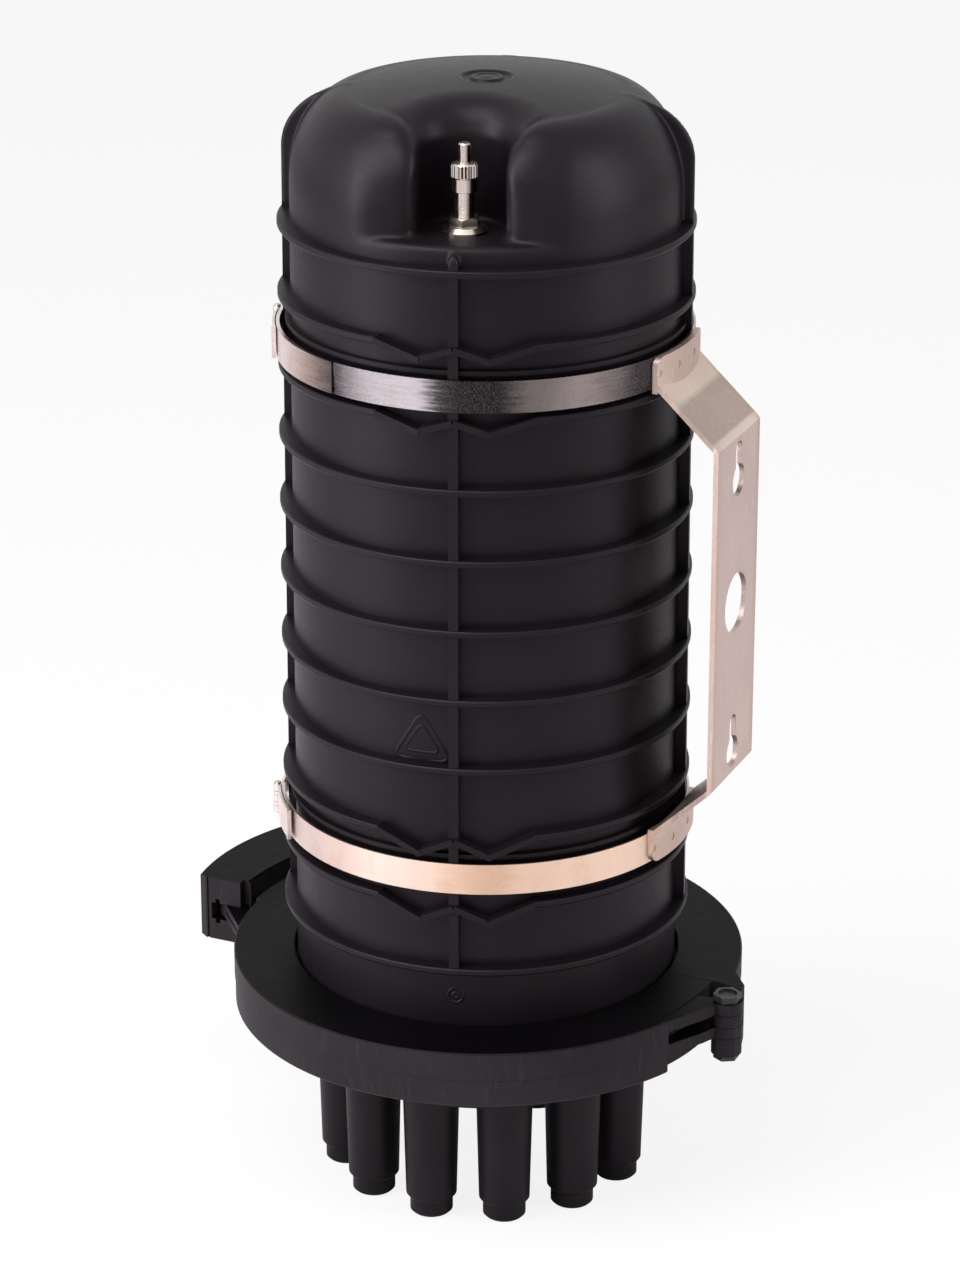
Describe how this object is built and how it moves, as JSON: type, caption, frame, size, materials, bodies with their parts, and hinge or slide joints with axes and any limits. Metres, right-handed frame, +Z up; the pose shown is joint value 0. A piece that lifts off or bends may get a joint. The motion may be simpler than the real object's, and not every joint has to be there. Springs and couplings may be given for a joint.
{
  "type": "dome splice closure",
  "caption": "Upright ribbed dome on a ported base, held by a hinged clamp ring with an over-centre latch; two steel bands carry a keyhole wall bracket, and a charging valve sits in the crown.",
  "frame": {"origin": "on the axis of the dome, in the plane of the port tips on which the closure stands", "axes": "+Z up along the axis of the dome, +X out of the wall bracket's mounting face, and -Y the side of the clamp ring's fixed half"},
  "size_m": [0.2486, 0.2178, 0.4529],
  "materials": {
    "dome_plastic": "moulded black, satin",
    "clamp_plastic": "glass-filled black, satin",
    "black_bolt": "blackened",
    "pin_steel": "plain",
    "band_steel": "bright rolled",
    "bracket_steel": "satin sheet",
    "nickel": "nickel plated",
    "soft_rubber": "matt",
    "valve_brass": "plain",
    "frame_steel": "zinc plated",
    "tray_plastic": "moulded off-white",
    "cover_plastic": "smoky clear sheet",
    "holder_rubber": "soft grey",
    "strap_fabric": "woven"
  },
  "bodies": {
    "closure": {"dome": "dome_plastic", "base": "dome_plastic", "clamp_front_half": "clamp_plastic", "hinge_bolt": "black_bolt", "hinge_nut": "black_bolt", "latch_link_pin": "pin_steel", "upper_band": "band_steel", "upper_clasp_pin": "band_steel", "lower_band": "band_steel", "lower_clasp_pin": "band_steel", "wall_bracket": "bracket_steel", "valve_stem": "nickel", "valve_washer": "nickel", "valve_nut": "nickel", "dome_seal": "soft_rubber", "valve_gasket": "soft_rubber", "valve_core": "valve_brass", "tray_frame": "frame_steel", "tray_pivots": "frame_steel", "strength_clamps": "frame_steel", "strength_clamp_screws": "frame_steel", "frame_screws": "frame_steel", "tray_hinge": "tray_plastic", "splice_tray_1": "tray_plastic", "splice_tray_2": "tray_plastic", "splice_tray_3": "tray_plastic", "splice_tray_4": "tray_plastic", "storage_basket": "tray_plastic", "tray_cover": "cover_plastic", "splice_holders": "holder_rubber", "tray_strap": "strap_fabric"},
    "rear_half": {"clamp_rear_half": "clamp_plastic"},
    "latch_link_body": {"latch_link": "clamp_plastic"},
    "latch_lever_body": {"latch_lever": "clamp_plastic", "latch_lever_pin": "pin_steel"},
    "upper_clasp": {"upper_clasp_lever": "band_steel"},
    "upper_clasp_loop": {"upper_clasp_link": "band_steel"},
    "lower_clasp": {"lower_clasp_lever": "band_steel"},
    "lower_clasp_loop": {"lower_clasp_link": "band_steel"},
    "valve_pin_body": {"valve_pin": "valve_brass"},
    "cap_seal_body": {"valve_cap_seal": "soft_rubber"},
    "cap_body": {"valve_cap": "nickel"}
  },
  "joints": [
    {"name": "clamp_rear_swing", "type": "hinge", "parent": "closure", "child": "rear_half", "pos_m": [0.1088, -0.0124, 0.0825], "axis": [0, 0, -1], "range_deg": [0, 65]},
    {"name": "latch_link_swing", "type": "hinge", "parent": "closure", "child": "latch_link_body", "pos_m": [-0.09488, -0.02017, 0.0825], "axis": [0, 0, 1], "range_deg": [0, 13.1]},
    {"name": "latch_lever_swing", "type": "hinge", "parent": "latch_link_body", "child": "latch_lever_body", "pos_m": [-0.12144, 0.01169, 0.0825], "axis": [0, 0, 1], "range_deg": [0, 45.6]},
    {"name": "upper_clasp_swing", "type": "hinge", "parent": "closure", "child": "upper_clasp", "pos_m": [-0.08065, -0.01714, 0.352], "axis": [0, 0, -1], "range_deg": [0, 90]},
    {"name": "upper_loop_swing", "type": "hinge", "parent": "closure", "child": "upper_clasp_loop", "pos_m": [-0.08065, -0.01714, 0.352], "axis": [0, 0, 1], "range_deg": [0, 60]},
    {"name": "lower_clasp_swing", "type": "hinge", "parent": "closure", "child": "lower_clasp", "pos_m": [-0.07621, -0.03393, 0.158], "axis": [0, 0, -1], "range_deg": [0, 90]},
    {"name": "lower_loop_swing", "type": "hinge", "parent": "closure", "child": "lower_clasp_loop", "pos_m": [-0.07621, -0.03393, 0.158], "axis": [0, 0, 1], "range_deg": [0, 60]},
    {"name": "valve_pin_press", "type": "slide", "parent": "closure", "child": "valve_pin_body", "axis": [0, 0, -1], "range_m": [0, 0.0015], "stiffness_N_per_m": 200, "springref_m": -0.002},
    {"name": "cap_lift", "type": "slide", "parent": "closure", "child": "cap_seal_body", "axis": [0, 0, 1], "range_m": [0, 0.0104]},
    {"name": "cap_turn", "type": "hinge", "parent": "cap_seal_body", "child": "cap_body", "pos_m": [0.01258, -0.05045, 0.424], "axis": [0, 0, 1], "range_deg": [0, 4681]}
  ],
  "couplings": [
    {"joint": "latch_link_swing", "follows": "clamp_rear_swing", "ratio": 0.2},
    {"joint": "latch_lever_swing", "follows": "clamp_rear_swing", "ratio": 0.7},
    {"joint": "cap_turn", "follows": "cap_lift", "rad_per_m": 7854}
  ]
}
